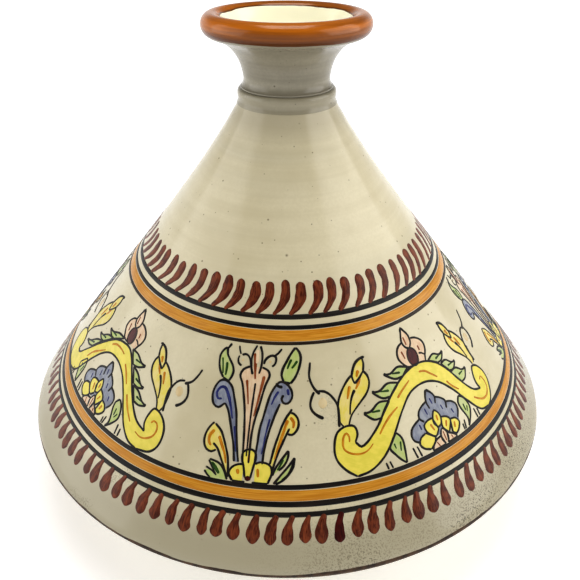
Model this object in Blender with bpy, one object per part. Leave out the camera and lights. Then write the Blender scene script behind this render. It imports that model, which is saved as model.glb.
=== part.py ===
"""A tagine: a shallow glazed stoneware dish, and the tall conical lid that stands on it.

The lid is made the way a potter makes it: a thrown cone closed at the top, a collar of clay laid on it,
and a flared cup, thrown apart, whose stem is luted into the collar as the knob. Every piece is turned
about the Z axis. The origin is the centre of the dish's foot, on the table. Lengths are in metres.
"""

import math

import bmesh
import bpy

# Lid cone, measured from its own foot
LID_RADIUS = 0.1350  # the widest ring, just above the foot
LID_WIDEST_HEIGHT = 0.0022
LID_FOOT_INSET = 0.0007  # how far the foot's outer edge pulls in under that ring
LID_FOOT_UPRIGHT = 0.0032  # height of the foot's upright inner face
LID_WALL = 0.0070
CONE_START = 0.0060  # height where the straight cone leaves the rounded foot
CONE_START_INSET = 0.0018
CONE_TOP = 0.1510
CONE_TOP_THICKNESS = 0.0080
STEEPEN_DROP = 0.0590  # below the top, where the straight cone begins to steepen
SHOULDER_DROP = 0.0225  # below the top, the height that the straight cone aims at
SHOULDER_OUT = 0.0129  # and how far outside the collar it would be there

# Collar on top of the cone
COLLAR_RADIUS = 0.0223
COLLAR_HEIGHT = 0.0062
COLLAR_EDGE = 0.0012  # rounding of the collar's top edge
COLLAR_BORE = 0.0150  # radius of the hole that holds the knob's stem

# Knob cup, measured from the collar's top
KNOB_FOOT_RADIUS = 0.0206
NECK_RADIUS = 0.0192
NECK_HEIGHT = 0.0042
KNOB_HEIGHT = 0.0310
RIM_RADIUS = 0.0367  # outside of the rolled rim
RIM_ROLL = 0.0048  # radius of the roll
ROLL_START = -75  # degrees round the roll, where the flare runs into it
ROLL_END = 165  # and where the cup's wall leaves it
FLARE_AIM = (0.3, 1.7)  # the flare's bend: outside the neck and under the roll's centre, in roll radii
HOLLOW_AIM = 0.7  # the bend of the cup's wall: inside the roll's end, in roll radii
CUP_DEPTH = 0.0165
CUP_FLOOR_RADIUS = 0.0110

# Dish, measured from the table
DISH_HEIGHT = 0.0400  # table to ledge
DISH_FOOT_RADIUS = 0.0880
DISH_FOOT_WIDTH = 0.0095
DISH_FOOT_RECESS = 0.0030
DISH_FLOOR_THICKNESS = 0.0085
DISH_FLOOR_RADIUS = 0.0840
BELLY_AIM = (0.62, 0.16)  # the belly's bend, as shares of the way out and up to the ledge's slanted edge
LEDGE_INSET = 0.0012  # how far the ledge stays inside the lid's foot
LEDGE_EDGE = 0.0010  # rounding of the ledge's outer edge
LEDGE_DEPTH = 0.0065  # height of the slanted edge under the ledge
LEDGE_UNDERCUT = 0.0070  # how far that edge slants in
SEAT_HEIGHT = 0.0060  # height above the ledge of the rim that keeps the lid in place
SEAT_WIDTH = 0.0070

TOUCH_GAP = 0.0003  # left between pieces that rest on or are joined to each other
SEAT_CLEARANCE = 0.0015  # all round, between the dish's rim and the inside of the lid's foot

LID_STEPS = 64
KNOB_STEPS = 48
DISH_STEPS = 64
MERGE_DISTANCE = 1e-6
SMOOTH_ANGLE = math.radians(35)


def arc(centre, radius, start_degrees, end_degrees, steps):
    """Points (r, z) on a circle, from one angle to the other. 0 points outwards and 90 up."""
    points = []
    for step in range(steps + 1):
        angle = math.radians(start_degrees + (end_degrees - start_degrees) * step / steps)
        points.append((centre[0] + radius * math.cos(angle), centre[1] + radius * math.sin(angle)))
    return points


def bend(start, control, end, steps):
    """Points (r, z) on the quadratic curve from start to end that leaves and arrives along control."""
    points = []
    for step in range(steps + 1):
        t = step / steps
        weights = ((1 - t) ** 2, 2 * t * (1 - t), t**2)
        points.append(tuple(sum(w * p[k] for w, p in zip(weights, (start, control, end))) for k in (0, 1)))
    return points


SHOULDER = (COLLAR_RADIUS + SHOULDER_OUT, CONE_TOP - SHOULDER_DROP)
CONE_FOOT = (LID_RADIUS - CONE_START_INSET, CONE_START)
CONE_RUN = (CONE_FOOT[0] - SHOULDER[0]) / (SHOULDER[1] - CONE_FOOT[1])  # radius lost for each unit of height
WALL_ACROSS = LID_WALL * math.hypot(1, CONE_RUN)  # the lid's wall, measured level
LID_FOOT_OUTER = LID_RADIUS - LID_FOOT_INSET


def cone_radius(height):
    """Radius of the straight part of the lid's outside."""
    return CONE_FOOT[0] - CONE_RUN * (height - CONE_FOOT[1])


LID_FOOT_INNER = cone_radius(LID_FOOT_UPRIGHT) - WALL_ACROSS


def lid_cone_outline():
    """Foot, outside, closed top, then the inside from its crown back down to the foot."""
    steepen = (cone_radius(CONE_TOP - STEEPEN_DROP), CONE_TOP - STEEPEN_DROP)
    crown = CONE_TOP - CONE_TOP_THICKNESS
    crown_edge = (COLLAR_RADIUS - WALL_ACROSS, crown - CONE_TOP_THICKNESS / 2)
    inner_shoulder = (SHOULDER[0] - WALL_ACROSS, SHOULDER[1])
    inner_steepen = (steepen[0] - WALL_ACROSS, steepen[1])
    return [
        (LID_FOOT_OUTER, 0),
        (LID_RADIUS, LID_WIDEST_HEIGHT),
        CONE_FOOT,
        *bend(steepen, SHOULDER, (COLLAR_RADIUS, CONE_TOP), 7),
        (0, CONE_TOP),
        (0, crown),
        *bend((crown_edge[0] / 2, crown), (crown_edge[0], crown), crown_edge, 2),
        *bend(crown_edge, inner_shoulder, inner_steepen, 5)[1:],
        (LID_FOOT_INNER, LID_FOOT_UPRIGHT),
        (LID_FOOT_INNER, 0),
    ]


def collar_outline():
    """A flat ring, rounded at its outer top edge."""
    return [
        (COLLAR_BORE, 0),
        (COLLAR_RADIUS, 0),
        *arc((COLLAR_RADIUS - COLLAR_EDGE, COLLAR_HEIGHT - COLLAR_EDGE), COLLAR_EDGE, 0, 90, 3),
        (COLLAR_BORE, COLLAR_HEIGHT),
    ]


def knob_cup_outline():
    """Stem, foot on the collar, waisted neck, flare, rolled rim, and the hollow of the cup."""
    stem_radius = COLLAR_BORE - TOUCH_GAP
    roll = (RIM_RADIUS - RIM_ROLL, KNOB_HEIGHT - RIM_ROLL)
    neck = (NECK_RADIUS, NECK_HEIGHT)
    outer_roll = arc(roll, RIM_ROLL, ROLL_START, 90, 8)
    inner_roll = arc(roll, RIM_ROLL, 90, ROLL_END, 4)
    flare = (NECK_RADIUS + RIM_ROLL * FLARE_AIM[0], roll[1] - RIM_ROLL * FLARE_AIM[1])
    floor = KNOB_HEIGHT - CUP_DEPTH
    hollow = (inner_roll[-1][0] - RIM_ROLL * HOLLOW_AIM, floor)
    return [
        (0, -COLLAR_HEIGHT),
        (stem_radius, -COLLAR_HEIGHT),
        (stem_radius, 0),
        (KNOB_FOOT_RADIUS, 0),
        *bend((KNOB_FOOT_RADIUS, COLLAR_EDGE / 2), (NECK_RADIUS, NECK_HEIGHT / 3), neck, 3),
        *bend(neck, flare, outer_roll[0], 7)[1:],
        *outer_roll[1:],
        *inner_roll[1:],
        *bend(inner_roll[-1], hollow, (CUP_FLOOR_RADIUS, floor), 5)[1:],
        (0, floor),
    ]


def dish_outline():
    """Foot ring, outside, ledge for the lid, the rim inside it, and the bowl."""
    ledge_outer = LID_FOOT_OUTER - LEDGE_INSET
    seat_outer = LID_FOOT_INNER - SEAT_CLEARANCE
    seat_inner = seat_outer - SEAT_WIDTH
    rounding = SEAT_WIDTH / 2
    foot_inner = DISH_FOOT_RADIUS - DISH_FOOT_WIDTH
    edge = (ledge_outer - LEDGE_UNDERCUT, DISH_HEIGHT - LEDGE_DEPTH)
    belly_start = (DISH_FOOT_RADIUS, DISH_FOOT_RECESS)
    belly = (DISH_FOOT_RADIUS + BELLY_AIM[0] * (edge[0] - DISH_FOOT_RADIUS), BELLY_AIM[1] * edge[1])
    return [
        (0, DISH_FOOT_RECESS),
        (foot_inner - DISH_FOOT_RECESS, DISH_FOOT_RECESS),
        (foot_inner, 0),
        (DISH_FOOT_RADIUS, 0),
        *bend(belly_start, belly, edge, 6),
        *arc((ledge_outer - LEDGE_EDGE, DISH_HEIGHT - LEDGE_EDGE), LEDGE_EDGE, -30, 90, 3),
        (seat_outer, DISH_HEIGHT),
        *arc((seat_outer - rounding, DISH_HEIGHT + SEAT_HEIGHT - rounding), rounding, 0, 180, 6),
        *bend(
            (seat_inner, DISH_HEIGHT - LEDGE_DEPTH / 2),
            (seat_inner, DISH_FLOOR_THICKNESS),
            (DISH_FLOOR_RADIUS, DISH_FLOOR_THICKNESS),
            7,
        ),
        (0, DISH_FLOOR_THICKNESS),
    ]


def turned(name, outline, steps, material):
    """One solid of revolution about Z. Its outline (r, z) runs from axis to axis, or closes on itself."""
    mesh = bmesh.new()
    points = [mesh.verts.new((r, 0, z)) for r, z in outline]
    edges = [mesh.edges.new(pair) for pair in zip(points, points[1:])]
    if outline[0][0] > 0:
        edges.append(mesh.edges.new((points[-1], points[0])))
    bmesh.ops.spin(
        mesh,
        geom=points + edges,
        cent=(0, 0, 0),
        axis=(0, 0, 1),
        angle=2 * math.pi,
        steps=steps,
        use_merge=True,
    )
    bmesh.ops.remove_doubles(mesh, verts=mesh.verts, dist=MERGE_DISTANCE)
    bmesh.ops.recalc_face_normals(mesh, faces=mesh.faces)
    data = bpy.data.meshes.new(name)
    mesh.to_mesh(data)
    mesh.free()
    data.shade_smooth()
    data.set_sharp_from_angle(angle=SMOOTH_ANGLE)
    data.materials.append(material)
    piece = bpy.data.objects.new(name, data)
    bpy.context.scene.collection.objects.link(piece)
    return piece


def glaze(name, colour, roughness):
    material = bpy.data.materials.new(name)
    material.use_nodes = True
    shader = material.node_tree.nodes["Principled BSDF"]
    shader.inputs["Base Color"].default_value = (*colour, 1)
    shader.inputs["Roughness"].default_value = roughness
    shader.inputs["Metallic"].default_value = 0
    return material


def on_lid(piece, lid, height):
    """Places a piece at a height above the lid's foot."""
    piece.parent = lid
    piece.location.z = height


def main():
    for old in list(bpy.data.objects):
        bpy.data.objects.remove(old)

    turned("dish", dish_outline(), DISH_STEPS, glaze("dish_glaze", (0.62, 0.56, 0.40), 0.30))

    lid = bpy.data.objects.new("lid", None)
    bpy.context.scene.collection.objects.link(lid)
    lid.location.z = DISH_HEIGHT + TOUCH_GAP
    cone = turned("lid_cone", lid_cone_outline(), LID_STEPS, glaze("lid_glaze", (0.64, 0.58, 0.42), 0.28))
    on_lid(cone, lid, 0)
    collar = turned("lid_collar", collar_outline(), KNOB_STEPS, glaze("collar_glaze", (0.55, 0.48, 0.33), 0.28))
    on_lid(collar, lid, CONE_TOP + TOUCH_GAP)
    knob = turned("knob_cup", knob_cup_outline(), KNOB_STEPS, glaze("knob_glaze", (0.60, 0.24, 0.05), 0.22))
    on_lid(knob, lid, CONE_TOP + TOUCH_GAP + COLLAR_HEIGHT + TOUCH_GAP)


main()
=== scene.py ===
"""The looks of a painted tagine: turned and glazed clay, and the brushwork of its frieze.

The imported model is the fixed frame. Every turned piece is made again as a fine mesh on the same sizes,
and each brush stroke is a thin skin of glaze that lies on the lid. Strokes are placed by (degrees, mm):
degrees round the lid from its front, and millimetres above the lid's foot.
"""

import math
import random

import bpy
import numpy as np
from mathutils import Euler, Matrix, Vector
from mathutils.geometry import delaunay_2d_cdt


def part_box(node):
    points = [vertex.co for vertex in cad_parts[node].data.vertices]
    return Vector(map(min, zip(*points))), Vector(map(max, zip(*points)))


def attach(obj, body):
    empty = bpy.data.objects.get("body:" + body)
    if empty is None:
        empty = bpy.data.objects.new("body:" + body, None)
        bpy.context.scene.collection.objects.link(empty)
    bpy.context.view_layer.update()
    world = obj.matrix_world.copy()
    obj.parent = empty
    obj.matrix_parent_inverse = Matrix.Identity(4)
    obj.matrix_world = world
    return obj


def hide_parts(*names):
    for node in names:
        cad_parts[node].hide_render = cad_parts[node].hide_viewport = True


MM = 0.001
SEED = 7

# Camera, from the axis and the lid's foot
CAMERA_BACK = 0.2940
CAMERA_SIDE = 0.0014
CAMERA_UP = 0.2287
CAMERA_PITCH = 31.08
CAMERA_LENS = 40.19
SENSOR = 36.0

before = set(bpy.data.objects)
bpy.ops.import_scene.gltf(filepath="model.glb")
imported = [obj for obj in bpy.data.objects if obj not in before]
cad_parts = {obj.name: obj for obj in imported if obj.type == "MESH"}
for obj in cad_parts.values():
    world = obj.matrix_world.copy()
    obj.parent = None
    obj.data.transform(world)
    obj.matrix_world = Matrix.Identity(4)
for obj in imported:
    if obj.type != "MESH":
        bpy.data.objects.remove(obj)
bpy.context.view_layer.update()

# The lid's sizes, as the CAD has them
LID_LOW, LID_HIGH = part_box("lid_cone")
LID_FOOT_Z = LID_LOW.z
LID_RADIUS = LID_HIGH.x
CONE_TOP = LID_HIGH.z - LID_FOOT_Z
COLLAR_LOW, COLLAR_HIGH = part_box("lid_collar")
COLLAR_RADIUS = COLLAR_HIGH.x
KNOB_LOW, KNOB_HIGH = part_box("knob_cup")
RIM_RADIUS = KNOB_HIGH.x
DISH_LOW, DISH_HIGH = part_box("dish")

LID_WALL = 0.0070
LID_WIDEST_HEIGHT = 0.0022
LID_FOOT_INSET = 0.0007
LID_FOOT_UPRIGHT = 0.0032
CONE_START = (LID_RADIUS - 0.0018, 0.0060)
SHOULDER = (COLLAR_RADIUS + 0.0129, CONE_TOP - 0.0225)
STEEPEN_HEIGHT = CONE_TOP - 0.0590
CONE_RUN = (CONE_START[0] - SHOULDER[0]) / (SHOULDER[1] - CONE_START[1])
SLANT = math.hypot(1, CONE_RUN)
WALL_ACROSS = LID_WALL * SLANT


# ---------------------------------------------------------------- outlines


def arc(centre, radius, start_degrees, end_degrees, steps):
    angles = np.radians(np.linspace(start_degrees, end_degrees, steps + 1))
    return [(centre[0] + radius * math.cos(a), centre[1] + radius * math.sin(a)) for a in angles]


def bend(start, control, end, steps):
    points = []
    for t in np.linspace(0, 1, steps + 1):
        weights = ((1 - t) ** 2, 2 * t * (1 - t), t**2)
        points.append(tuple(sum(w * p[k] for w, p in zip(weights, (start, control, end))) for k in (0, 1)))
    return points


def line(start, end, steps):
    return [tuple(start[k] + (end[k] - start[k]) * t for k in (0, 1)) for t in np.linspace(0, 1, steps + 1)]


def cone_radius(height):
    return CONE_START[0] - CONE_RUN * (height - CONE_START[1])


def lid_outside():
    """The lid's outside from its foot to its top, as (radius, height above the foot)."""
    foot = (LID_RADIUS - LID_FOOT_INSET, 0)
    widest = (LID_RADIUS, LID_WIDEST_HEIGHT)
    steepen = (cone_radius(STEEPEN_HEIGHT), STEEPEN_HEIGHT)
    return [
        *bend((foot[0] - 0.0006, 0), foot, (LID_RADIUS - 0.0002, 0.0010), 3),
        *bend(widest, (LID_RADIUS - 0.0001, CONE_START[1] * 0.62), CONE_START, 5),
        *line(CONE_START, steepen, 70)[1:],
        *bend(steepen, SHOULDER, (COLLAR_RADIUS, CONE_TOP), 46)[1:],
    ]


OUTSIDE = np.array(lid_outside())


def throwing_rings(height, strength):
    """The soft ridges that fingers leave in clay on a wheel, as a change of radius."""
    h = height / MM
    return strength * (np.sin(h * 0.83 + 0.6) + 0.7 * np.sin(h * 0.47 + 2.1) + 0.5 * np.sin(h * 1.31 + 4.0))


def lid_surface(angle, height):
    """The lid's radius at an angle in radians and a height in metres: slightly uneven, as thrown clay is."""
    radius = np.interp(height, OUTSIDE[:, 1], OUTSIDE[:, 0])
    above_frieze = np.clip((height - 0.092) / 0.012, 0, 1)
    swell = 0.00016 * np.sin(2 * angle + 1.0) + 0.00010 * np.sin(3 * angle + 2.4)
    return radius + throwing_rings(height, 0.000008 + 0.000020 * above_frieze) + swell * (radius / LID_RADIUS)


# ---------------------------------------------------------------- meshes


def new_object(name, points, faces, material, body, smooth_angle=50):
    data = bpy.data.meshes.new(name)
    data.from_pydata([tuple(p) for p in points], [], faces)
    data.validate()
    data.shade_smooth()
    data.set_sharp_from_angle(angle=math.radians(smooth_angle))
    data.materials.append(material)
    piece = bpy.data.objects.new(name, data)
    bpy.context.scene.collection.objects.link(piece)
    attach(piece, body)
    return piece


def turned(name, outline, steps, material, body, surface=None):
    """A closed solid of revolution. The outline runs anticlockwise in (radius, z) and may touch the axis.
    surface(angle, radius, z) may change the radius."""
    points, rings = [], []
    for radius, z in outline:
        if radius < 1e-6:
            rings.append([len(points)])
            points.append((0, 0, z))
            continue
        ring = []
        for step in range(steps):
            angle = 2 * math.pi * step / steps
            r = surface(angle, radius, z) if surface else radius
            ring.append(len(points))
            points.append((r * math.sin(angle), -r * math.cos(angle), z))
        rings.append(ring)
    faces = []
    pairs = list(zip(rings, rings[1:]))
    if outline[0][0] > 1e-6:
        pairs.append((rings[-1], rings[0]))
    pairs = [(low, high) for low, high in pairs if len(low) + len(high) > 2]
    for low, high in pairs:
        for step in range(steps):
            after = (step + 1) % steps
            if len(low) == 1:
                faces.append((low[0], high[after], high[step]))
            elif len(high) == 1:
                faces.append((low[step], low[after], high[0]))
            else:
                faces.append((low[step], low[after], high[after], high[step]))
    return new_object(name, points, faces, material, body)


# ---------------------------------------------------------------- materials


def srgb(red, green, blue):
    """A colour given as 0 to 255 in sRGB, as the linear values that Blender's sockets take."""
    parts = [c / 255 for c in (red, green, blue)]
    linear = [c / 12.92 if c <= 0.04045 else ((c + 0.055) / 1.055) ** 2.4 for c in parts]
    return (*linear, 1)


class Look:
    """A Principled material, and short calls that add nodes to it."""

    def __init__(self, name, roughness=0.3, specular=0.5, coat=0.0):
        self.material = bpy.data.materials.new(name)
        self.material.use_nodes = True
        self.tree = self.material.node_tree
        self.shader = self.tree.nodes["Principled BSDF"]
        self.shader.inputs["Roughness"].default_value = roughness
        self.shader.inputs["Specular IOR Level"].default_value = specular
        self.shader.inputs["Coat Weight"].default_value = coat
        self.shader.inputs["Coat Roughness"].default_value = 0.08
        self.place = self.node("ShaderNodeTexCoord").outputs["Object"]

    def node(self, kind, **settings):
        made = self.tree.nodes.new(kind)
        for key, value in settings.items():
            setattr(made, key, value)
        return made

    def feed(self, socket, value):
        if isinstance(value, bpy.types.NodeSocket):
            self.tree.links.new(value, socket)
        else:
            socket.default_value = value

    def math(self, operation, first, second=0.0, third=0.0, clamp=False):
        made = self.node("ShaderNodeMath", operation=operation, use_clamp=clamp)
        for socket, value in zip(made.inputs, (first, second, third)):
            self.feed(socket, value)
        return made.outputs[0]

    def times(self, first, second):
        return self.math("MULTIPLY", first, second)

    def plus(self, first, second):
        return self.math("ADD", first, second)

    def above(self, value, limit):
        return self.math("GREATER_THAN", value, limit)

    def below(self, value, limit):
        return self.math("LESS_THAN", value, limit)

    def stretched(self, scale, place=None):
        made = self.node("ShaderNodeMapping")
        self.feed(made.inputs["Vector"], place or self.place)
        made.inputs["Scale"].default_value = scale
        return made.outputs[0]

    def noise(self, scale, detail=3.0, rough=0.5, place=None):
        made = self.node("ShaderNodeTexNoise")
        self.feed(made.inputs["Vector"], place or self.place)
        made.inputs["Scale"].default_value = scale
        made.inputs["Detail"].default_value = detail
        made.inputs["Roughness"].default_value = rough
        return made.outputs["Fac"]

    def range(self, value, low, high, to_low=0.0, to_high=1.0, smooth=True):
        made = self.node("ShaderNodeMapRange", interpolation_type="SMOOTHSTEP" if smooth else "LINEAR")
        self.feed(made.inputs["Value"], value)
        self.feed(made.inputs["From Min"], low)
        self.feed(made.inputs["From Max"], high)
        self.feed(made.inputs["To Min"], to_low)
        self.feed(made.inputs["To Max"], to_high)
        return made.outputs["Result"]

    def mix(self, amount, first, second):
        made = self.node("ShaderNodeMix", data_type="RGBA")
        self.feed(made.inputs["Factor"], amount)
        self.feed(made.inputs[6], first)
        self.feed(made.inputs[7], second)
        return made.outputs[2]

    def parts(self):
        made = self.node("ShaderNodeSeparateXYZ")
        self.feed(made.inputs[0], self.place)
        return made.outputs

    def across(self):
        """The distance from the axis."""
        x, y = self.parts()[:2]
        return self.math("SQRT", self.plus(self.times(x, x), self.times(y, y)))

    def clay(self):
        return self.mix(self.range(self.noise(260), 0.35, 0.65), CLAY_DARK, CLAY)

    def spots(self, cell, share, size):
        """Round specks: one to a cell of that size in metres, in that share of the cells."""
        made = self.node("ShaderNodeTexVoronoi")
        self.feed(made.inputs["Vector"], self.place)
        made.inputs["Scale"].default_value = 1 / cell
        colour = self.node("ShaderNodeSeparateColor")
        self.feed(colour.inputs[0], made.outputs["Color"])
        reach = self.math("MULTIPLY", colour.outputs[1], size)
        inside = self.math("SUBTRACT", reach, made.outputs["Distance"])
        spot = self.range(inside, 0.0, 0.10)
        chosen = self.math("LESS_THAN", colour.outputs[0], share)
        return self.math("MULTIPLY", spot, chosen)

    def bump(self, height, strength, distance):
        made = self.node("ShaderNodeBump")
        made.inputs["Strength"].default_value = strength
        made.inputs["Distance"].default_value = distance
        self.feed(made.inputs["Height"], height)
        before = self.shader.inputs["Normal"]
        if before.is_linked:
            self.tree.links.new(before.links[0].from_socket, made.inputs["Normal"])
        self.tree.links.new(made.outputs["Normal"], before)

    def now(self, name):
        """What feeds a socket of the shader so far."""
        return self.shader.inputs[name].links[0].from_socket

    def colour(self, value):
        self.feed(self.shader.inputs["Base Color"], value)

    def roughness(self, value):
        self.feed(self.shader.inputs["Roughness"], value)


CREAM = srgb(212, 203, 175)
CREAM_DEEP = srgb(200, 190, 160)
CREAM_GREY = srgb(190, 184, 164)
# painted shade together with the glaze's greyer tone: the colour the lid darkens to at its foot
SHADED_GREY_FOOT = srgb(172, 164, 140)
# painted shadow: the colour of the cone's top where the knob shades it
SHADE_UNDER_KNOB = srgb(186, 177, 153)
SPECK = srgb(74, 58, 36)
GRIME = srgb(84, 76, 52)
CLAY = srgb(86, 62, 42)
CLAY_DARK = srgb(46, 33, 23)


BARE_ROUGHNESS = 0.75
RINGED = (LID_FOOT_Z + 0.080, LID_FOOT_Z + 0.100)  # heights between which the rings begin to show
LARGE_SPECKS = {"cell": 0.0110, "share": 0.26}


def mottling(look, rings, mottle, cream, deep):
    """The glaze's own colour: mottled low down, and ringed above."""
    high = look.range(look.parts()[2], *RINGED, 0.08, 0.35)
    even = look.times(mottle, look.math("SUBTRACT", 1.0, high))
    blush = look.plus(look.times(rings, high), even)
    colour = look.mix(look.range(blush, 0.38, 0.64), deep, cream)
    wide_rings = look.noise(1.0, detail=2, place=look.stretched((4, 4, 90)))
    greyed = look.times(look.range(wide_rings, 0.5, 0.75, 0.0, 0.9), high)
    colour = look.mix(greyed, colour, CREAM_GREY)
    grain = look.range(look.noise(800, detail=2, rough=0.7), 0.35, 0.65)
    return look.mix(look.times(grain, 0.3), colour, deep)


def specked(look, colour, large):
    """Iron specks, fine and large, and the pale ring round each large one."""
    fine = look.spots(0.0026, 0.42, 0.22)
    colour = look.mix(look.times(fine, 0.55), colour, SPECK)
    colour = look.mix(look.times(large, 0.85), colour, SPECK)
    halo = look.spots(**LARGE_SPECKS, size=0.24)
    ring = look.math("SUBTRACT", halo, large, clamp=True)
    return look.mix(look.times(ring, 0.25), colour, CREAM)


def shade_and_grime(look, colour, grime):
    """Painted shade on the lid: darker towards its foot, where the glaze is also greyer, and darker at its
    top under the knob. And dark grains at the foot's right side and in the frieze.
    """
    sides = look.parts()
    x, z = sides[0], sides[2]
    # darker towards the foot: partly painted shade, partly the glaze's greyer tone there
    foot = look.range(z, LID_FOOT_Z + 0.024, LID_FOOT_Z + 0.010)
    colour = look.mix(look.times(foot, 0.9), colour, SHADED_GREY_FOOT)
    # painted shadow of the knob on the cone's top
    shadow_under_knob = look.range(z, LID_FOOT_Z + CONE_TOP - 0.013, LID_FOOT_Z + CONE_TOP)
    colour = look.mix(look.times(shadow_under_knob, 0.75), colour, SHADE_UNDER_KNOB)
    low = look.range(z, LID_FOOT_Z + 0.030, LID_FOOT_Z + 0.004)
    side = look.range(x, -0.03, 0.07)
    patch = look.range(look.noise(26, detail=3), 0.40, 0.60, 0.35, 1.0)
    in_frieze = look.range(z, LID_FOOT_Z + 0.075, LID_FOOT_Z + 0.065)
    smudge = look.times(look.range(look.noise(34, detail=2), 0.66, 0.74, 0.0, 0.5), in_frieze)
    where = look.math("MAXIMUM", look.times(look.times(low, side), patch), smudge)
    grains = look.range(look.noise(1500, detail=2, rough=0.7), 0.52, 0.60)
    return look.mix(look.times(look.times(where, grains), grime), colour, GRIME)


def glazed(name, bare_below=None, grime=0.0, cream=CREAM, deep=CREAM_DEEP):
    """Cream glaze over clay: rings from the wheel, mottling, iron specks and pinholes.
    bare_below is a height in metres under which the clay shows."""
    look = Look(name, roughness=0.25, specular=0.4, coat=0.1)
    rings = look.noise(1.0, detail=4, rough=0.6, place=look.stretched((5, 5, 330)))
    mottle = look.noise(22, detail=4, rough=0.6)
    large = look.spots(**LARGE_SPECKS, size=0.10)
    colour = specked(look, mottling(look, rings, mottle, cream, deep), large)
    # grime also turns on the painted shade at the lid's foot and top
    if grime:
        colour = shade_and_grime(look, colour, grime)
    rough = look.range(mottle, 0.3, 0.7, 0.13, 0.24, smooth=False)
    if bare_below is not None:
        wander = look.range(look.noise(40, detail=2), 0.3, 0.7, -0.0004, 0.0004)
        bare = look.below(look.parts()[2], look.plus(bare_below, wander))
        colour = look.mix(bare, colour, look.clay())
        rough = look.math("MAXIMUM", rough, look.times(bare, BARE_ROUGHNESS))
    look.colour(colour)
    look.roughness(rough)
    look.bump(rings, 0.2, 0.00015)
    look.bump(look.noise(420, detail=2), 0.10, 0.00012)
    look.bump(look.times(large, -1.0), 0.5, 0.00010)
    return look


def paint(name, colour, dark, streak=0.6, edge=0.3, roughness=0.2, thin=None, thin_share=0.0):
    """Brushed glaze. The brush attribute holds where a point is in its stroke: across and along it in
    millimetres, and a number that differs from stroke to stroke."""
    look = Look(name, roughness=roughness, specular=0.25, coat=0.05)
    brush = look.node("ShaderNodeAttribute", attribute_name="brush").outputs["Vector"]
    rim = look.node("ShaderNodeAttribute", attribute_name="rim").outputs["Fac"]
    hairs = look.noise(1.0, detail=3, rough=0.6, place=look.stretched((2.6, 0.28, 7.0), brush))
    pools = look.noise(1.0, detail=2, place=look.stretched((0.30, 0.24, 3.0), brush))
    mixed = look.plus(look.times(hairs, streak), look.times(pools, 1 - streak))
    amount = look.range(mixed, 0.36, 0.62)
    amount = look.math("SUBTRACT", amount, look.times(rim, edge), clamp=True)
    shade = look.mix(amount, dark, colour)
    if thin is not None:
        shade = look.mix(look.range(pools, 0.50, 0.66, 0.0, thin_share), shade, thin)
    look.colour(shade)
    look.roughness(look.range(hairs, 0.3, 0.7, roughness * 0.8, roughness * 1.4, smooth=False))
    look.bump(hairs, 0.25, 0.00006)
    return look.material


def tin(slot, name, colour, dark, **more):
    """A paint's slot and its material."""
    return slot + "_paint", paint("brushed_" + name, srgb(*colour), srgb(*dark), **more)


PAINTS = {
    "line": tin(
        "line",
        "line",
        (24, 18, 13),
        (12, 9, 6),
        roughness=0.35,
        thin=srgb(46, 36, 26),
        thin_share=0.5,
    ),
    "grey_line": tin("line", "grey_line", (44, 39, 31), (20, 17, 13), roughness=0.35),
    "brown_line": tin("line", "brown_line", (58, 42, 22), (30, 22, 14), roughness=0.35),
    "orange": tin("orange", "orange", (206, 152, 56), (186, 126, 34), streak=0.75, edge=0.25),
    "ochre": tin("orange", "ochre", (200, 142, 30), (172, 106, 16), edge=0.1),
    "red": tin("red", "red_brown", (138, 70, 38), (80, 34, 18), edge=0.55, roughness=0.32),
    "deep_red": tin("red", "deep_red", (92, 22, 14), (56, 10, 8)),
    "russet": tin("red", "russet", (150, 86, 46), (116, 54, 22), edge=0.1),
    "yellow": tin("yellow", "yellow", (227, 211, 100), (216, 203, 88), streak=0.3, edge=0.3),
    "straw": tin("yellow", "straw", (218, 202, 96), (222, 206, 138), streak=0.4, edge=0.1),
    "green": tin("green", "green", (176, 190, 112), (190, 194, 142), streak=0.4, edge=0.1),
    "deep_green": tin("green", "deep_green", (56, 92, 30), (34, 58, 20), edge=0.1),
    "blue": tin("blue", "blue", (154, 157, 164), (124, 128, 143), streak=0.4, edge=0.3),
    "deep_blue": tin("blue", "deep_blue", (58, 64, 118), (34, 38, 84), edge=0.1),
    "pink": tin("pink", "pink", (222, 200, 170), (208, 178, 146), streak=0.5, edge=0.1),
    "salmon": tin("pink", "salmon", (210, 194, 156), (204, 178, 132), streak=0.4, edge=0.0),
}


# ---------------------------------------------------------------- brushwork


FRIEZE_MM_PER_DEGREE = 1.70  # half way up the frieze
# how proud each layer stands, in mm
LIFT = {"band": 0.04, "stripe": 0.06, "fill": 0.05, "stroke": 0.07, "mark": 0.15, "line": 0.17}
LAYER = 0.02  # between a fill and the one it lies on
SKIRT = -0.12  # how deep its edges go under the glaze, in mm
SEED_SPREAD = 50  # each stroke has a number up to this, so that no two streak alike
NORMAL = (1 / SLANT, CONE_RUN / SLANT)  # the cone's outward normal, as (radius, z)


def on_lid(degrees, height, lift):
    """The point at (degrees, mm) on the lid, lift mm proud of it."""
    angle = math.radians(degrees)
    radius = lid_surface(angle, height * MM) + lift * MM * NORMAL[0]
    z = LID_FOOT_Z + height * MM + lift * MM * NORMAL[1]
    return (radius * math.sin(angle), -radius * math.cos(angle), z)


def mm_per_degree(height):
    return math.radians(1) * float(np.interp(height * MM, OUTSIDE[:, 1], OUTSIDE[:, 0])) / MM


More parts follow.
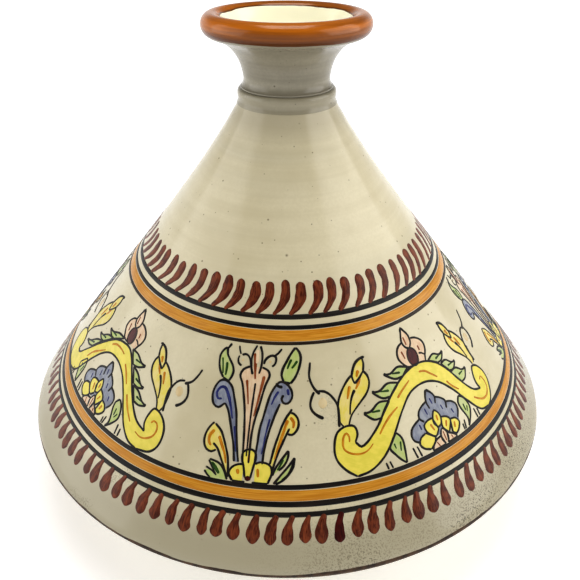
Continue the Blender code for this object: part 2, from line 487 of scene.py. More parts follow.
class Skin:
    """One mesh of brushed glaze, which strokes and fills are added to."""

    def __init__(self):
        self.points, self.faces, self.brush, self.rim = [], [], [], []

    def add(self, points, faces, brush, rim):
        start = len(self.points)
        self.points += points
        self.faces += [tuple(start + i for i in face) for face in faces]
        self.brush += brush
        self.rim += rim

    def make(self, name, paint_name):
        slot, material = PAINTS[paint_name]
        piece = new_object(name, self.points, self.faces, material, "lid", smooth_angle=70)
        brush = piece.data.attributes.new("brush", "FLOAT_VECTOR", "POINT")
        brush.data.foreach_set("vector", np.array(self.brush, np.float32).ravel())
        rim = piece.data.attributes.new("rim", "FLOAT", "POINT")
        rim.data.foreach_set("value", np.array(self.rim, np.float32))
        return piece


def smooth(points, spacing=0.9):
    """A smooth curve through given points (degrees, mm), sampled about every spacing mm."""
    scale = np.array((FRIEZE_MM_PER_DEGREE, SLANT))
    p = np.array(points, float) * scale
    if len(p) == 2:
        count = max(2, int(np.linalg.norm(p[1] - p[0]) / spacing))
        return [tuple(p[0] + (p[1] - p[0]) * t) for t in np.linspace(0, 1, count + 1)] / scale
    p = np.vstack([2 * p[0] - p[1], p, 2 * p[-1] - p[-2]])
    out = []
    for a, b, c, d in zip(p, p[1:], p[2:], p[3:]):
        steps = [max(np.linalg.norm(v - u), 1e-6) ** 0.5 for u, v in ((a, b), (b, c), (c, d))]
        knots = np.cumsum([0] + steps)
        count = max(2, int(np.linalg.norm(c - b) / spacing))
        for t in np.linspace(knots[1], knots[2], count, endpoint=False):
            ab = a + (b - a) * (t - knots[0]) / (knots[1] - knots[0])
            bc = b + (c - b) * (t - knots[1]) / (knots[2] - knots[1])
            cd = c + (d - c) * (t - knots[2]) / (knots[3] - knots[2])
            abc = ab + (bc - ab) * (t - knots[0]) / (knots[2] - knots[0])
            bcd = bc + (cd - bc) * (t - knots[1]) / (knots[3] - knots[1])
            out.append(abc + (bcd - abc) * (t - knots[1]) / (knots[2] - knots[1]))
    out.append(p[-2])
    return np.array(out) / scale


def stroke(skin, points, widths, lift, seed, ends=(1.0, 1.0)):
    """A brush stroke through given points. widths, in mm, are spread evenly along it, and its ends
    are rounded over that many half widths."""
    path = smooth(points)
    step = np.diff(path, axis=0)
    local = np.array([mm_per_degree(h) for h in path[:, 1]])
    lengths = np.hypot(step[:, 0] * (local[1:] + local[:-1]) / 2, step[:, 1] * SLANT)
    along = np.concatenate([[0], np.cumsum(lengths)])
    total = along[-1]
    spread = np.linspace(0, total, len(widths)) if len(widths) > 1 else [0]
    first, last = widths[0] / 2 * ends[0], widths[-1] / 2 * ends[1]
    round_steps = np.array((0.0, 0.04, 0.15, 0.34, 0.62, 1.0))
    wanted = np.concatenate([first * round_steps, along, total - last * round_steps])
    wanted = np.unique(np.round(np.clip(wanted, 0, total), 4))
    keep = np.concatenate([[True], np.diff(wanted) > 0.03])
    wanted = wanted[keep]
    degrees = np.interp(wanted, along, path[:, 0])
    heights = np.interp(wanted, along, path[:, 1])
    width = np.interp(wanted, spread, widths) if len(widths) > 1 else np.full(len(wanted), widths[0])
    width = width * (1 + 0.08 * np.sin(wanted / 2.1 + seed) + 0.05 * np.sin(wanted / 0.8 + seed * 3))
    for reach, distance in ((first, wanted), (last, total - wanted)):
        if reach > 0:
            inner = np.clip(1 - distance / reach, 0, 1)
            width = width * np.sqrt(np.clip(1 - inner**2, 0.0025, 1))
    scale = np.array([mm_per_degree(h) for h in heights])
    slope = np.column_stack([np.gradient(degrees) * scale, np.gradient(heights) * SLANT])
    slope /= np.maximum(np.linalg.norm(slope, axis=1, keepdims=True), 1e-9)
    across = (-1.0, -0.72, 0.0, 0.72, 1.0)
    lifts = (SKIRT, lift * 0.85, lift, lift * 0.85, SKIRT)
    rims = (1.0, 0.75, 0.0, 0.75, 1.0)
    points, brush, rim = [], [], []
    for i in range(len(wanted)):
        for side, up, edge in zip(across, lifts, rims):
            offset = side * width[i] / 2
            a = degrees[i] - slope[i][1] * offset / scale[i]
            h = heights[i] + slope[i][0] * offset / SLANT
            points.append(on_lid(a, h, up))
            brush.append((offset, wanted[i], seed))
            rim.append(edge)
    faces = []
    n = len(across)
    for i in range(len(wanted) - 1):
        for k in range(n):
            m = (k + 1) % n
            faces.append((i * n + k, (i + 1) * n + k, (i + 1) * n + m, i * n + m))
    faces.append(tuple(range(n)))
    faces.append(tuple((len(wanted) - 1) * n + k for k in reversed(range(n))))
    skin.add(points, faces, brush, rim)


def inside_polygon(points, polygon):
    x, y = points[:, 0][:, None], points[:, 1][:, None]
    x0, y0 = polygon[:, 0][None, :], polygon[:, 1][None, :]
    x1, y1 = np.roll(x0, -1, axis=1), np.roll(y0, -1, axis=1)
    crosses = ((y0 > y) != (y1 > y)) & (x < (x1 - x0) * (y - y0) / (y1 - y0 + 1e-12) + x0)
    return crosses.sum(axis=1) % 2 == 1


FILL_GRID = 2.2  # mm between the points inside a fill, close enough to follow the cone


def fill(skin, sides, lift, seed, turn=0.0):
    """A filled shape whose outline is the sides, end to end. turn is the brush's direction in degrees."""
    outline = np.vstack([smooth(side)[:-1] for side in sides])
    scale = np.array((FRIEZE_MM_PER_DEGREE, SLANT))
    flat = outline * scale
    gap = np.linalg.norm(flat - np.roll(flat, 1, axis=0), axis=1)
    flat = flat[gap > 0.05]
    low, high = flat.min(axis=0), flat.max(axis=0)
    xs = np.arange(low[0] + FILL_GRID / 2, high[0], FILL_GRID)
    ys = np.arange(low[1] + FILL_GRID / 2, high[1], FILL_GRID)
    grid = np.array([(x, y) for x in xs for y in ys]).reshape(-1, 2)
    if len(grid):
        far = np.array([np.linalg.norm(flat - g, axis=1).min() > 0.8 for g in grid])
        grid = grid[far & inside_polygon(grid, flat)] if far.any() else grid[:0]
    every = [Vector(p) for p in np.vstack([flat, grid])]
    ring = list(range(len(flat)))
    found = delaunay_2d_cdt(every, [], [ring], 1, 1e-4)
    places, triangles = np.array([tuple(v) for v in found[0]]), [tuple(f) for f in found[2]]
    turned_by = math.radians(turn)
    points, brush, rim, faces = [], [], [], []
    for level in (lift, SKIRT):
        for x, y in places:
            points.append(on_lid(x / scale[0], y / scale[1], level))
            across = x * math.cos(turned_by) + y * math.sin(turned_by)
            down = y * math.cos(turned_by) - x * math.sin(turned_by)
            brush.append((across, down, seed))
            rim.append(0.0)
    count = len(places)
    sides_of = {}
    for a, b, c in triangles:
        u, v = places[b] - places[a], places[c] - places[a]
        if u[0] * v[1] - u[1] * v[0] < 0:
            b, c = c, b
        faces.append((a, b, c))
        faces.append((a + count, c + count, b + count))
        for one, two in ((a, b), (b, c), (c, a)):
            sides_of[(one, two)] = True
    for one, two in sides_of:
        if (two, one) not in sides_of:
            faces.append((two, one, one + count, two + count))
            rim[one] = rim[two] = 0.6
    skin.add(points, faces, brush, rim)


LINE_WEIGHT = 1.12  # how much wider than drawn the dark lines are


class Brush:
    """Paints shapes at a place in the frieze. across is degrees from centre, and flip mirrors it."""

    skins = {}
    random = random.Random(SEED)

    def __init__(self, centre, flip=1, at=(0.0, 0.0), size=(1.0, 1.0), shake=0.0):
        self.centre, self.flip, self.at, self.size, self.shake = centre, flip, at, size, shake

    def moved(self, flip=1, at=(0.0, 0.0), size=(1.0, 1.0)):
        """The same place, with its own origin at a point of it."""
        return Brush(self.centre, flip, at, size, self.shake)

    def place(self, points, shake):
        off = (self.random.uniform(-1, 1) * shake, self.random.uniform(-1, 1) * shake)
        placed = []
        for x, h in points:
            x = (self.at[0] + x * self.flip * self.size[0]) + off[0]
            placed.append((self.centre + x, self.at[1] + h * self.size[1] + off[1]))
        return placed

    @classmethod
    def skin(cls, name):
        return cls.skins.setdefault(name, Skin())

    def line(self, points, widths=(1.0,), ends=(1.0, 1.0)):
        widths = [w * LINE_WEIGHT for w in widths]
        placed = self.place(points, self.shake)
        stroke(self.skin("line"), placed, widths, LIFT["line"], self.random.random() * SEED_SPREAD, ends)

    def mark(self, name, points, widths, ends=(1.0, 1.0)):
        placed = self.place(points, self.shake)
        stroke(self.skin(name), placed, widths, LIFT["mark"], self.random.random() * SEED_SPREAD, ends)

    def fill(self, name, *sides, layer=0, turn=0.0):
        off = self.random.uniform(-1, 1) * self.shake
        placed = [[(x + off, h) for x, h in self.place(side, 0.0)] for side in sides]
        lift = LIFT["fill"] + layer * LAYER
        fill(self.skin(name), placed, lift, self.random.random() * SEED_SPREAD, turn)

    def shape(self, name, *sides, widths=(1.0,), layer=0, turn=0.0):
        """A filled shape with its sides drawn round it."""
        self.fill(name, *sides, layer=layer, turn=turn)
        for side in sides:
            self.line(side, widths)


def oval(centre, half_width, half_height):
    angles = np.radians(np.linspace(0, 360, 15))
    return [(centre[0] + half_width * math.cos(a), centre[1] + half_height * math.sin(a)) for a in angles]


def palmette(brush):
    """Fans up from a rosette on the lower band: a central funnel, two blue scrolls, two ochre hooks."""
    # stems and funnel
    left_horn = [
        (-1.3, 36), (-1.6, 44.9), (-1.9, 49.8), (-2.3, 53.7), (-3.5, 60.3), (-4.35, 62.8), (-3.7, 64.7),
        (-1.9, 65.9),
    ]
    right_horn = [
        (1.4, 65.9), (3.0, 65.0), (3.5, 63.6), (2.5, 60.2), (1.3, 53.7), (0.6, 49.8), (0.1, 44.9),
        (0.0, 36),
    ]
    brush.fill(
        "pink", left_horn, [left_horn[-1], right_horn[0]], right_horn, [right_horn[-1], left_horn[0]],
    )
    brush.line(left_horn)
    brush.line(right_horn)
    brush.line([(-0.1, 60.8), (-0.5, 50), (-0.6, 38)], (0.9, 0.7))
    brush.mark("russet", [(-2.4, 61.6), (-1.9, 58.0), (-1.4, 54.0)], (1.3, 0.6))
    brush.mark("russet", [(2.1, 63.2), (1.4, 58.6), (0.6, 53.0), (0.2, 50.4)], (1.5, 1.2, 0.6))
    # spear
    spear_left = [(-1.1, 63.4), (-1.7, 66.0), (-1.8, 68.4), (-1.4, 70.6), (-0.5, 72.7)]
    spear_right = [(0.4, 72.6), (1.0, 70.8), (1.2, 68.3), (1.0, 65.7), (0.6, 63.8)]
    brush.mark("pink", [(-0.3, 71.4), (-0.3, 67.0)], (1.6, 2.4))
    brush.line(spear_left, (1.1, 0.8))
    brush.line(spear_right, (1.1, 0.8))
    brush.mark("russet", [(-0.9, 70.2), (-0.6, 66.5), (-0.3, 62.0)], (1.7, 1.6, 0.7))
    # tendrils beside the spear
    brush.line([(-1.8, 65.8), (-2.1, 67.8), (-2.8, 69.2), (-3.7, 69.6), (-4.6, 69.2)], (0.8, 0.9))
    brush.line([(-4.4, 65.8), (-5.3, 66.5), (-5.6, 67.8), (-5.3, 68.9)], (1.0, 0.7))
    brush.line([(-5.8, 72.0), (-5.5, 70.7), (-5.0, 69.4)], (0.8, 0.8))
    brush.mark("salmon", [(-4.5, 67.8), (-3.9, 67.5)], (1.6,))
    brush.line([
        (1.8, 66.9), (2.0, 68.1), (2.9, 69.3), (4.1, 69.8), (5.0, 69.3), (5.1, 68.1), (4.7, 66.9),
        (4.0, 66.3),
    ])
    brush.line([(4.3, 69.4), (5.6, 70.5), (6.7, 72.0)], (0.9, 0.8))
    brush.mark("salmon", [(3.2, 67.9), (3.8, 67.6)], (1.5,))
    # blue scrolls
    left_outer = [
        (-2.2, 36), (-2.6, 38.6), (-3.1, 42.5), (-3.6, 47), (-4.1, 51.3), (-5.0, 55.2), (-6.3, 59.1),
        (-8.2, 60.5), (-9.6, 59.9), (-10.7, 57.0), (-10.7, 54.5), (-10.0, 52.4), (-8.7, 51.7), (-7.2, 53.4),
    ]
    left_inner = [(-7.2, 53.4), (-6.3, 51.8), (-5.4, 48.8), (-4.5, 44.9), (-3.7, 41.0), (-3.1, 36)]
    brush.fill("blue", left_outer, left_inner, [left_inner[-1], left_outer[0]])
    brush.line(left_outer, (0.9, 1.0, 1.0))
    brush.line(left_inner)
    brush.mark(
        "deep_blue",
        [
            (-4.8, 48.9), (-5.6, 52.5), (-6.6, 55.8), (-7.9, 58.2), (-9.0, 58.0), (-9.8, 56.2),
            (-9.2, 54.4), (-8.2, 54.6),
        ],
        (0.8, 1.5, 1.6, 1.0),
    )
    brush.mark("deep_blue", [(-4.0, 46.8), (-3.4, 42.0), (-3.0, 39.0)], (1.1, 0.6))
    right_inner = [
        (1.3, 36), (1.4, 39.3), (1.6, 42.5), (1.9, 46.9), (2.6, 50.8), (3.3, 54.7), (4.0, 57.6),
        (5.1, 60.1), (6.2, 61.5), (7.3, 61.5), (8.6, 60.3), (9.4, 58.3), (9.3, 56.4), (8.3, 54.9),
        (7.2, 55.1), (6.8, 56.4), (7.3, 57.5),
    ]
    right_outer = [(6.4, 54.8), (5.4, 51.8), (4.5, 48.3), (3.8, 44.9), (3.2, 41.0), (2.9, 36)]
    brush.fill(
        "blue", right_inner[:-2], [right_inner[-3], right_outer[0]], right_outer,
        [right_outer[-1], right_inner[0]],
    )
    brush.line(right_inner, (0.9, 1.0, 1.0))
    brush.line(right_outer)
    brush.line([(5.3, 61.2), (5.9, 60.2), (7.0, 60.0)], (1.2, 1.4))
    brush.mark("deep_blue", [(4.1, 50.0), (3.4, 45.9), (2.9, 41.5), (2.6, 39.0)], (1.0, 0.8, 0.5))
    brush.mark("deep_blue", [(4.3, 54.4), (5.0, 56.6), (6.0, 58.6)], (0.8, 1.2))
    brush.mark("deep_blue", [(8.3, 59.4), (8.5, 57.4)], (1.4, 1.2))
    # green buds on the scrolls
    brush.shape(
        "green", [(-8.9, 61.2), (-10.1, 63.2), (-10.8, 65.6), (-10.9, 68.2), (-10.0, 70.2), (-9.2, 70.8)],
        [(-9.2, 70.8), (-8.9, 68.8), (-7.9, 67.1), (-7.0, 65.7), (-6.4, 63.9), (-6.7, 61.8), (-7.3, 60.4)],
        [(-7.3, 60.4), (-8.9, 61.2)],
    )
    brush.line([(-9.6, 70.4), (-8.9, 70.9), (-8.2, 72.3)], (0.9, 1.2))
    brush.mark("deep_green", [(-10.1, 67.4), (-9.7, 65.4), (-9.2, 62.4)], (1.0, 0.7))
    brush.mark("deep_green", [(-8.6, 66.2), (-8.4, 64.2), (-8.4, 62.0)], (1.4, 1.0))
    brush.shape(
        "green", [(7.3, 61.6), (6.7, 63.6), (7.0, 65.6), (8.0, 67.9), (9.2, 70.3), (10.6, 72.4)],
        [(10.6, 72.4), (11.6, 71.0), (12.0, 69.2), (11.7, 67.1), (11.0, 64.7), (10.0, 62.5), (9.0, 61.1)],
        [(9.0, 61.1), (7.3, 61.6)], widths=(1.1,),
    )
    brush.mark("deep_green", [(9.4, 68.7), (8.8, 67.4), (8.2, 65.6)], (1.3, 0.9))
    brush.mark("deep_green", [(11.0, 68.2), (10.2, 66.9), (9.4, 65.8)], (1.3, 0.9))
    # ochre hooks
    left_tip = (-8.6, 46.6)
    brush.fill(
        "straw", [(-4.0, 31.5), (-4.5, 36.6), (-5.2, 39.6), (-6.1, 42.5), (-7.0, 44.7), left_tip],
        [left_tip, (-9.6, 45.5), (-10.4, 43.0), (-10.4, 40.2), (-9.6, 38.3), (-8.4, 37.8), (-7.3, 38.8)],
        [(-7.3, 38.8), (-6.3, 37.1), (-5.4, 34.7), (-4.4, 31.5)],
    )
    brush.mark("ochre", [(-7.2, 43.0), (-6.4, 40.8), (-5.4, 38.0), (-4.8, 35.0)], (1.6, 1.4, 0.8))
    brush.mark("ochre", [(-8.5, 44.6), (-9.4, 42.6), (-9.3, 40.6), (-8.7, 39.6)], (1.8, 1.8, 1.0))
    brush.line([(-4.0, 31.0), (-4.5, 36.6), (-5.2, 39.6), (-6.1, 42.5), (-7.0, 44.7), left_tip])
    brush.line([
        (-8.9, 46.9), (-9.7, 45.4), (-10.4, 43.0), (-10.4, 40.2), (-9.6, 38.3), (-8.4, 37.8), (-7.4, 38.7),
    ])
    brush.line([(-8.3, 40.5), (-7.2, 39.3), (-6.3, 37.1), (-5.4, 34.7), (-4.2, 31.0)])
    right_side = [(4.5, 36.1), (4.9, 38.6), (5.4, 41.5), (6.2, 44.9), (7.1, 48.3), (8.2, 51.0), (8.9, 52.2)]
    curl = [(8.9, 52.0), (9.7, 51.7), (10.6, 50.3), (10.8, 48.3), (10.2, 46.3), (9.2, 45.2), (8.2, 45.5)]
    back = [(8.7, 47.2), (8.0, 45.4), (7.2, 43.0), (6.3, 40.1), (5.6, 37.1), (5.0, 34.0)]
    brush.fill("straw", right_side, curl, back, [back[-1], right_side[0]])
    brush.line(right_side + [(9.3, 53.2)])
    brush.line(curl)
    brush.line(back)
    brush.mark("ochre", [(8.3, 49.8), (7.2, 45.6), (6.2, 41.0), (5.5, 37.6)], (1.5, 1.5, 1.2))
    brush.mark("ochre", [(8.9, 50.6), (9.7, 49.0), (9.5, 47.2)], (1.5, 1.5, 1.1))
    # spiky leaves either side of the rosette
    brush.fill(
        "green", [(-8.3, 35.4), (-6.3, 34.8), (-5.0, 33.0), (-4.1, 30.2)],
        [(-4.1, 30.2), (-7.9, 30.2), (-9.0, 32.0)], [(-9.0, 32.0), (-7.6, 32.8), (-8.3, 35.4)],
    )
    brush.line([(-8.4, 35.5), (-6.3, 34.8), (-5.0, 33.0), (-4.1, 30.2)])
    brush.mark("deep_green", [(-7.9, 34.6), (-6.6, 32.8), (-5.9, 31.6)], (1.6, 2.0, 1.2))
    brush.line([(-8.5, 35.2), (-7.5, 33.0), (-6.6, 31.4)], (0.9, 0.6))
    brush.line([(-8.9, 33.0), (-7.4, 32.1), (-6.4, 31.0)], (0.9, 0.7))
    brush.line([(-9.1, 31.8), (-8.3, 30.6), (-7.6, 30.0)], (0.9, 0.8))
    brush.shape(
        "green", [(5.1, 32.7), (5.8, 35.2), (7.2, 38.1), (8.4, 40.4)],
        [(8.4, 40.4), (8.3, 38.2), (7.5, 35.9), (6.4, 34.3)],
    )
    brush.mark("deep_green", [(7.3, 37.8), (6.7, 35.9), (6.1, 34.4)], (1.2, 0.8))
    brush.shape(
        "green", [(5.4, 30.2), (7.0, 33.2), (8.4, 35.6), (9.7, 38.0)],
        [(9.7, 38.0), (9.4, 35.5), (8.4, 33.0), (7.0, 31.1), (5.8, 30.2)],
    )
    brush.line([(9.7, 38.3), (9.2, 35.6), (8.3, 33.0), (7.0, 31.2)], (1.3, 1.0))
    # rosette
    brush.shape(
        "yellow", [(-0.9, 35.6), (-2.2, 35.3), (-3.4, 34.2), (-3.9, 32.4), (-3.0, 30.2)],
        [(-3.0, 30.2), (-0.4, 30.2)], layer=1,
    )
    brush.mark("ochre", [(-2.2, 33.9), (-1.9, 32.4)], (1.9, 1.4))
    brush.shape(
        "yellow", [(1.4, 35.9), (2.4, 36.6), (3.7, 36.4), (4.7, 35.5), (5.0, 33.7), (4.2, 30.2)],
        [(4.2, 30.2), (1.0, 30.2)], layer=1,
    )
    brush.mark("ochre", [(2.0, 34.6), (2.2, 32.0)], (1.4, 1.2))
    brush.shape(
        "yellow",
        [
            (-0.5, 31.5), (-1.0, 35.2), (-1.5, 37.6), (-1.2, 39.4), (0.0, 40.3), (1.2, 39.7), (1.5, 37.8),
            (1.1, 35.2), (0.6, 31.5),
        ],
        layer=2,
    )
    brush.mark("ochre", [(0.0, 38.9), (0.0, 36.4)], (1.5, 1.2))
    brush.mark("deep_red", [(0.1, 32.2), (0.1, 30.6)], (3.2, 3.2))


def bud(brush):
    """A pomegranate bud: three pale petals round a dark seed. Its origin is the seed's centre."""
    left = [(-1.8, 5.8), (-3.5, 5.0), (-4.6, 3.3), (-4.8, 1.1), (-4.0, -0.7), (-2.8, -2.4), (-1.0, -2.9)]
    right = [(1.7, 5.9), (3.3, 5.4), (5.1, 3.7), (5.6, 2.0), (5.1, -0.2), (4.4, -1.4), (3.7, -3.2)]
    brush.fill("pink", left, right[::-1], [right[0], left[0]])
    brush.line(left)
    brush.line(right)
    brush.shape(
        "pink", [(0.0, 3.0), (-1.2, 3.9), (-1.8, 5.6), (-1.6, 7.0), (-0.3, 10.4)],
        [(-0.3, 10.4), (1.1, 7.8), (1.4, 6.4), (1.1, 4.4), (0.0, 3.0)], layer=1,
    )
    brush.line([(-1.0, 9.0), (-0.3, 10.3), (0.6, 8.8)], (0.8, 1.6, 0.8))
    brush.mark("russet", [(-0.7, 7.3), (-0.6, 4.4)], (0.9, 0.9))
    brush.mark("russet", [(-3.1, 3.2), (-2.7, 0.4)], (1.0, 0.8))
    brush.mark("russet", [(3.1, 2.6), (3.2, 0.8)], (0.9, 0.8))
    brush.fill("deep_red", oval((0, 0), 1.6, 2.9), layer=2)
    brush.line(oval((0, 0), 1.8, 3.1), (0.7,))
    brush.line([(2.4, 0.1), (3.4, -0.3), (4.4, -1.4)], (1.0, 0.8))


def side_leaf(brush, upper, lower, tip, swell=1.0):
    """A pointed leaf that grows from the arch: its upper and lower root, and its tip."""
    over = ((upper[0] * 0.6 + tip[0] * 0.4), (upper[1] * 0.6 + tip[1] * 0.4) + swell)
    before = ((upper[0] * 0.25 + tip[0] * 0.75), (upper[1] * 0.25 + tip[1] * 0.75) - 0.3)
    under = ((lower[0] * 0.55 + tip[0] * 0.45), (lower[1] * 0.55 + tip[1] * 0.45) - swell)
    brush.shape("green", [upper, over, before, tip], [tip, under, lower], [lower, upper], widths=(1.0,))
    middle = [(a + b) / 2 for a, b in zip(upper, lower)]
    vein = [(middle[0] * s + tip[0] * (1 - s), middle[1] * s + tip[1] * (1 - s)) for s in (0.75, 0.35)]
    brush.mark("deep_green", vein, (1.3, 0.7))
    brush.line([(tip[0] * 0.85 + over[0] * 0.15, tip[1] * 0.85 + over[1] * 0.15), tip], (1.0, 1.3))


def flower(brush):
    """The flower under an arch: blue petals outside, yellow inside, pink at its heart."""
    brush.fill(
        "blue",
        [
            (-6.6, 33.5), (-7.9, 35.6), (-8.3, 37.4), (-7.8, 39.3), (-6.5, 40.6), (-4.9, 41.6),
            (-4.4, 43.8), (-3.0, 45.0), (-1.4, 45.8),
        ],
        [(-1.4, 45.8), (-1.0, 47.4), (-0.2, 49.3), (0.9, 47.8), (1.6, 45.8)],
        [(1.6, 45.8), (3.2, 44.3), (4.2, 42.4), (5.8, 41.3), (6.9, 39.6), (6.8, 37.4), (5.8, 34.5)],
        [(5.8, 34.5), (-6.6, 33.5)],
    )
    brush.line([(-6.6, 34.4), (-7.9, 35.6), (-8.3, 37.4), (-7.8, 39.3), (-6.5, 40.6), (-4.9, 41.5)])
    brush.line([(-3.9, 40.0), (-4.9, 41.7), (-4.4, 43.7), (-3.0, 45.0), (-1.4, 45.7)])
    brush.line([(-1.1, 43.0), (-1.4, 45.4), (-1.0, 47.4), (-0.2, 49.2)], (0.9, 1.0, 1.3))
    brush.line([(-0.2, 49.2), (0.9, 47.8), (1.6, 46.0), (1.1, 43.6)], (1.3, 1.0, 0.9))
    brush.line([(1.7, 45.6), (3.2, 44.3), (4.2, 42.6), (3.7, 40.2)])
    brush.line([(4.2, 42.2), (5.8, 41.3), (6.9, 39.6), (6.8, 37.4), (5.7, 35.2)])
    for x, top, low in (
        (-2.6, 43.9, 41.6), (-0.1, 46.2, 44.0), (-5.5, 39.9, 38.0), (2.3, 42.3, 40.5), (4.9, 39.2, 37.4),
    ):
        brush.mark("deep_blue", [(x, top), (x + 0.25, low)], (0.9, 0.7))
    brush.shape(
        "yellow", [(-4.6, 36.5), (-6.2, 35.7), (-6.9, 33.9), (-6.2, 32.2), (-4.6, 31.0)],
        [(-4.6, 31.0), (-3.0, 32.4), (-2.4, 33.9)], [(-2.4, 33.9), (-4.6, 36.5)], layer=1,
    )
    brush.shape(
        "yellow", [(3.3, 36.4), (4.9, 35.7), (5.6, 33.9), (4.8, 32.2), (3.5, 31.1), (2.6, 32.2)],
        [(2.6, 32.2), (3.3, 36.4)], layer=1,
    )
    brush.shape(
        "yellow",
        [(-1.5, 39.9), (-3.0, 39.9), (-4.3, 38.9), (-4.2, 36.8), (-3.4, 35.2), (-2.2, 34.0), (-0.8, 35.8)],
        [(-0.8, 35.8), (-1.5, 39.9)], layer=2,
    )
    brush.shape(
        "yellow", [(1.0, 38.8), (2.6, 37.8), (3.3, 36.4), (2.5, 34.4), (1.6, 32.8)],
        [(1.6, 32.8), (0.4, 35.6), (1.0, 38.8)], layer=2,
    )
    brush.shape(
        "yellow",
        [
            (-0.7, 36.3), (-1.5, 38.0), (-1.3, 39.8), (-0.2, 41.9), (0.8, 40.2), (0.9, 38.6), (0.2, 36.6),
            (-0.7, 36.3),
        ],
        layer=3,
    )
    brush.mark("ochre", [(-0.1, 40.2), (-0.2, 38.2)], (1.5, 1.2))
    brush.mark("ochre", [(-2.6, 38.4), (-2.0, 35.9)], (1.3, 1.0))
    brush.mark("ochre", [(2.1, 36.9), (1.4, 35.0)], (1.3, 1.0))
    brush.mark("ochre", [(4.2, 34.9), (3.7, 33.0)], (1.5, 1.2))
    brush.shape(
        "pink", [(-1.0, 33.3), (-2.6, 32.8), (-3.8, 31.4), (-4.2, 30.1)], [(-4.2, 30.1), (-0.5, 30.1)],
        [(-0.5, 30.1), (-1.0, 33.3)], layer=3,
    )
    brush.shape(
        "pink", [(0.9, 33.2), (2.1, 32.2), (3.0, 31.0), (3.3, 30.1)], [(3.3, 30.1), (0.4, 30.1)],
        [(0.4, 30.1), (0.9, 33.2)], layer=3,
    )
    brush.shape(
        "pink",
        [(-0.4, 30.2), (-1.0, 32.0), (-0.8, 33.8), (0.0, 35.3), (0.8, 33.8), (0.9, 32.0), (0.4, 30.2)],
        layer=4,
    )
    brush.mark("russet", [(0.0, 34.3), (0.0, 31.0)], (0.9, 0.8))
    brush.mark("russet", [(-2.6, 32.2), (-2.1, 30.4)], (0.8, 0.8))
    brush.mark("russet", [(1.8, 31.8), (2.0, 30.5)], (0.8, 0.8))


def sprig(brush, tail, belly):
    """A straw leaf and a tendril that grow from a hook. Its origin is the hook's top. belly widens the
    leaf on its outer side, in degrees."""
    left = [
        (-0.9, 0.0), (-1.6, 1.4), (-1.8, 3.8), (-1.7, 6.0), (-1.3, 8.3), (-0.4, 10.6), (0.9, 12.9),
        (2.3, 14.7), (3.3, 15.5),
    ]
    left = [(x - belly * math.sin(math.pi * min(h / 15.5, 1.0) ** 1.7), h) for x, h in left]
    right = [
        (6.7, 16.0), (7.5, 14.5), (7.7, 12.5), (7.2, 10.6), (6.0, 8.6), (4.5, 7.0), (2.8, 5.1), (1.3, 3.1),
        (0.6, 1.3), (0.3, 0.0),
    ]
    cup = [(3.3, 15.5), (3.4, 13.8), (3.7, 12.6), (5.0, 13.8), (6.7, 16.0)]
    brush.fill("straw", left, cup, right, [right[-1], left[0]], turn=-25)
    tip = (8.0, 20.4)
    brush.fill(
        "straw", [cup[2], (3.3, 15.5), (4.0, 17.4), (5.0, 19.1), (6.4, 20.0), (7.3, 20.1)],
        [(7.3, 20.1), (7.3, 18.4), (6.7, 16.0), (5.0, 13.9), cup[2]],
    )
    brush.mark("ochre", [(2.2, 12.3), (1.6, 10.4), (1.0, 8.3)], (1.8, 1.6, 0.8))
    brush.mark("ochre", [(5.3, 14.2), (4.6, 12.5), (3.6, 10.9)], (1.4, 1.5, 0.8))
    brush.mark("ochre", [(5.3, 16.7), (4.5, 14.6)], (1.8, 1.2))
    brush.line(left, (0.7, 0.9, 1.1))
    brush.line(right, (1.1, 0.9, 0.7))
    brush.line([(3.2, 15.6), (3.4, 13.8), (3.7, 12.6)], (1.0, 0.9))
    brush.line([(3.7, 12.7), (5.0, 13.9), (6.8, 16.2)], (1.2, 0.9))
    brush.line([(3.2, 15.2), (4.0, 17.4), (5.0, 19.1), (6.4, 20.1), tip], (1.0, 1.2, 1.4))
    brush.line([(7.2, 20.0), (7.3, 18.4), (6.7, 16.0)])
    brush.line([(3.3, 10.8), (2.3, 9.0), (1.5, 6.4), (1.0, 3.4)], (1.5, 0.9, 0.6))
    brush.line(
        [(-2.0, 0.2), (-1.7, 3.8), (-1.7, 7.0), (-2.2, 8.6), (-3.3, 10.6), (-4.5, 11.7), (-6.2, 12.1)],
        (1.2, 1.1, 0.9),
    )
    brush.mark("salmon", [(-5.2, 9.9), (-5.4, 6.6)], (4.0, 3.8))
    brush.line(
        [(-7.2, 11.9), (-7.9, 10.3), (-8.4, 7.7), (-7.8, 5.7), (-6.4, 4.1), (-5.4, 3.5)], (1.0, 1.1, 1.3),
    )
    brush.line(tail, (1.2, 1.0, 0.8))


TAIL_UP = [(-5.8, 11.1), (-6.9, 12.6), (-7.8, 14.8), (-8.2, 17.1), (-7.9, 19.7), (-7.7, 21.3)]
TAIL_OUT = [(-6.3, 11.2), (-8.6, 12.6), (-10.1, 15.0), (-11.0, 17.2)]

